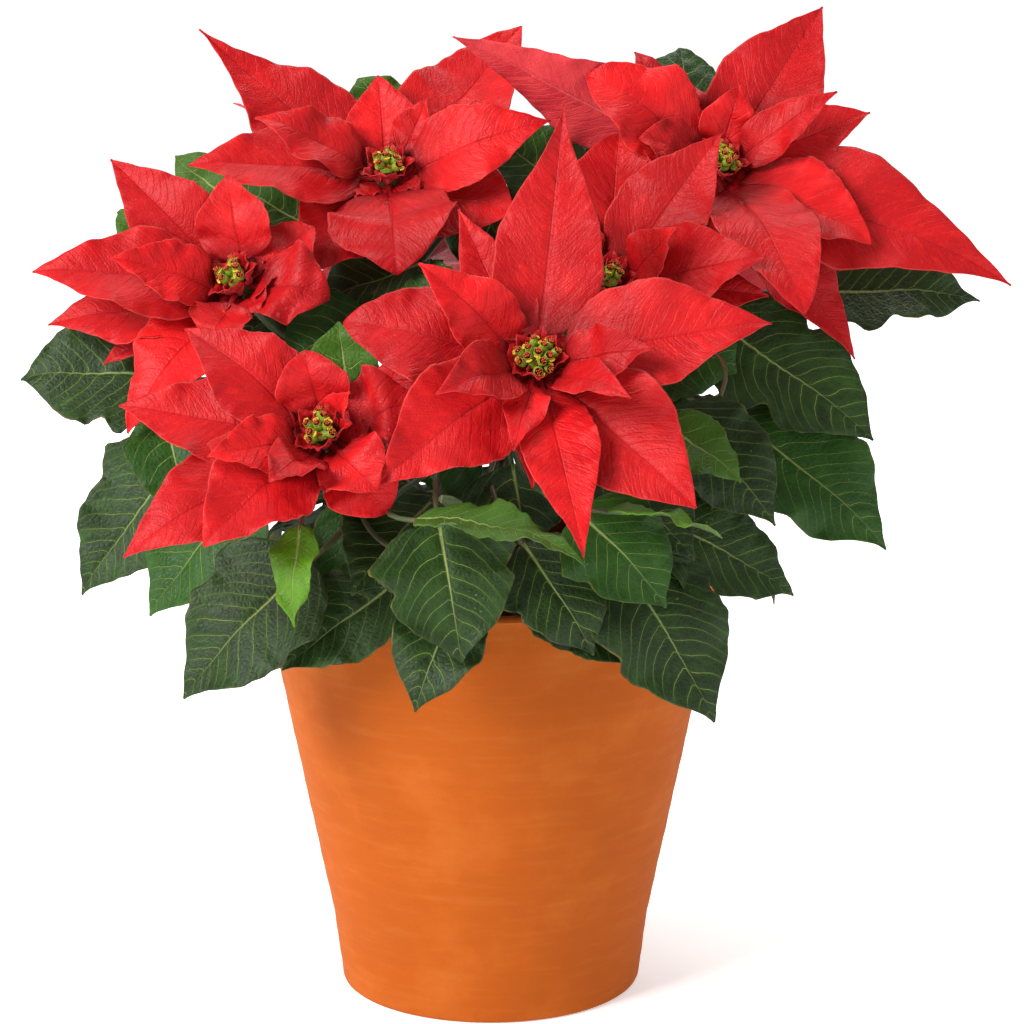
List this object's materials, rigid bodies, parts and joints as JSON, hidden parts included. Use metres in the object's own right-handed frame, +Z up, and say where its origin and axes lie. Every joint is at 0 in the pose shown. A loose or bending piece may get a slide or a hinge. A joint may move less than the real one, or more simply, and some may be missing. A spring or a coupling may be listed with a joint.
{
  "type": "potted poinsettia",
  "caption": "Poinsettia with red bract rosettes over dark green leaves, standing in soil in a plain tapered terracotta pot, as a free-standing house plant.",
  "frame": {"origin": "centre of the pot's flat underside", "axes": "+Z up along the pot's axis, the side seen in the picture faces -Y, +X to the viewer's right"},
  "size_m": [0.4529, 0.3702, 0.4496],
  "materials": {
    "terracotta": "unglazed fired clay, matt",
    "peat": null,
    "red_bract": null,
    "green_leaf": null,
    "cyathium": null
  },
  "bodies": {
    "root": {"bloom_back_left": "red_bract", "bloom_back_right": "red_bract", "bloom_front": "red_bract", "bloom_left": "red_bract", "bloom_lower_left": "red_bract", "bloom_middle_right": "red_bract", "bloom_upper_left": "red_bract", "bloom_upper_right": "red_bract", "cyathia_back_left": "cyathium", "cyathia_back_right": "cyathium", "cyathia_front": "cyathium", "cyathia_left": "cyathium", "cyathia_lower_left": "cyathium", "cyathia_middle_right": "cyathium", "cyathia_upper_left": "cyathium", "cyathia_upper_right": "cyathium", "plant_left": "green_leaf", "plant_middle": "green_leaf", "plant_right": "green_leaf", "pot": "terracotta", "potting_soil": "peat"}
  },
  "joints": []
}
